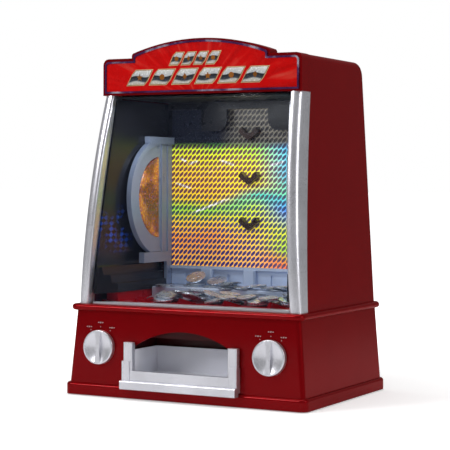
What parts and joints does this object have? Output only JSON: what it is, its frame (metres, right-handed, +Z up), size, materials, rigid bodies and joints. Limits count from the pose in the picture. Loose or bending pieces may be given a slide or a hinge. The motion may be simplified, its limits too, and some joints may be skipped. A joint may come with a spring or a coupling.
{
  "type": "coin pusher machine",
  "caption": "Tabletop coin pusher toy: red tapered cabinet with a curved clear front, arched sign, sliding pusher, token drawer and two dials.",
  "frame": {"origin": "bottom centre of the whole machine's box, on the surface that it stands on", "axes": "+X to the machine's right seen from the front, +Y to its back, +Z up"},
  "size_m": [0.294, 0.224, 0.39],
  "materials": {
    "red_shell": "deep crimson high gloss",
    "red_label": "bright red gloss print",
    "red_floor": "red gloss",
    "silver": "satin silver paint",
    "chrome_trim": "bright trim",
    "clear": "clear",
    "black_gloss": "black gloss",
    "grey_blue": "light grey-blue satin",
    "hologram": "rainbow prismatic film",
    "amber": "amber prismatic lens",
    "coin_metal": "stamped steel",
    "pale_plastic": "pale grey gloss",
    "dark_plastic": "dark moulded",
    "machine_white": "acetal",
    "circuit": "solder mask",
    "steel": "zinc plated",
    "rubber": "matte",
    "black_matte": "fine texture"
  },
  "bodies": {
    "cabinet": {"backboard": "dark_plastic", "base_housing": "red_shell", "base_plate": "black_matte", "battery_box": "black_matte", "battery_contacts": "steel", "battery_door": "black_matte", "bay_liner": "red_floor", "cabinet_shell": "red_shell", "cam_axle": "steel", "case_screws": "steel", "coin_chute": "machine_white", "coin_deflectors": "dark_plastic", "coin_dividers": "red_floor", "coin_slot_bezel": "silver", "coins_at_fascia": "coin_metal", "coins_on_playfield": "coin_metal", "drawer_rails": "machine_white", "drive_bracket": "machine_white", "front_window": "clear", "gear_motor": "black_matte", "header_panel": "black_gloss", "hologram_sheet": "hologram", "lamp_boards": "circuit", "lamp_housing_left": "grey_blue", "lamp_housing_right": "grey_blue", "lamp_lens_left": "amber", "lamp_lens_right": "amber", "main_board": "circuit", "marquee_frame": "red_shell", "marquee_panel": "red_label", "marquee_trim": "chrome_trim", "payout_chute": "red_floor", "payout_wings": "red_floor", "pillar_left": "silver", "pillar_right": "silver", "playfield_lip": "pale_plastic", "playfield_tray": "red_floor", "pusher_guides": "machine_white", "rear_cover": "red_shell", "rotary_switches": "black_matte", "rubber_feet": "rubber", "side_panel_left": "black_gloss", "side_panel_right": "black_gloss", "speaker": "black_matte", "wiper_fascia": "grey_blue"},
    "drawer": {"drawer_front": "silver", "drawer_tray": "pale_plastic"},
    "pusher": {"pusher_plate": "grey_blue", "pusher_yoke": "machine_white", "follower_pins": "steel", "coins_on_pusher": "coin_metal"},
    "cam": {"heart_cam": "machine_white", "cam_gear": "machine_white"},
    "pinion": {"drive_pinion": "machine_white"},
    "knob_l": {"knob_left": "silver", "knob_shaft_left": "steel"},
    "knob_r": {"knob_right": "silver", "knob_shaft_right": "steel"}
  },
  "joints": [
    {"name": "cam_turn", "type": "hinge", "parent": "cabinet", "child": "cam", "pos_m": [0, 0.064, 0.085], "axis": [0, 0, 1], "range_deg": [0, 180]},
    {"name": "pusher_slide", "type": "slide", "parent": "cabinet", "child": "pusher", "axis": [0, -1, 0], "range_m": [-0.016, 0]},
    {"name": "pinion_turn", "type": "hinge", "parent": "cabinet", "child": "pinion", "pos_m": [0.0288, 0.064, 0.083], "axis": [0, 0, 1], "range_deg": [-540, 0]},
    {"name": "drawer_slide", "type": "slide", "parent": "cabinet", "child": "drawer", "axis": [0, -1, 0], "range_m": [0, 0.06]},
    {"name": "knob_left_turn", "type": "hinge", "parent": "cabinet", "child": "knob_l", "pos_m": [-0.1038, -0.09723, 0.054], "axis": [0, -0.999, 0.0446], "range_deg": [-40, 40]},
    {"name": "knob_right_turn", "type": "hinge", "parent": "cabinet", "child": "knob_r", "pos_m": [0.1038, -0.09723, 0.054], "axis": [0, -0.999, 0.0446], "range_deg": [-40, 40]}
  ],
  "couplings": [
    {"joint": "cam_turn", "follows": "pusher_slide", "rad_per_m": -196.35},
    {"joint": "pinion_turn", "follows": "pusher_slide", "rad_per_m": 589.05}
  ]
}
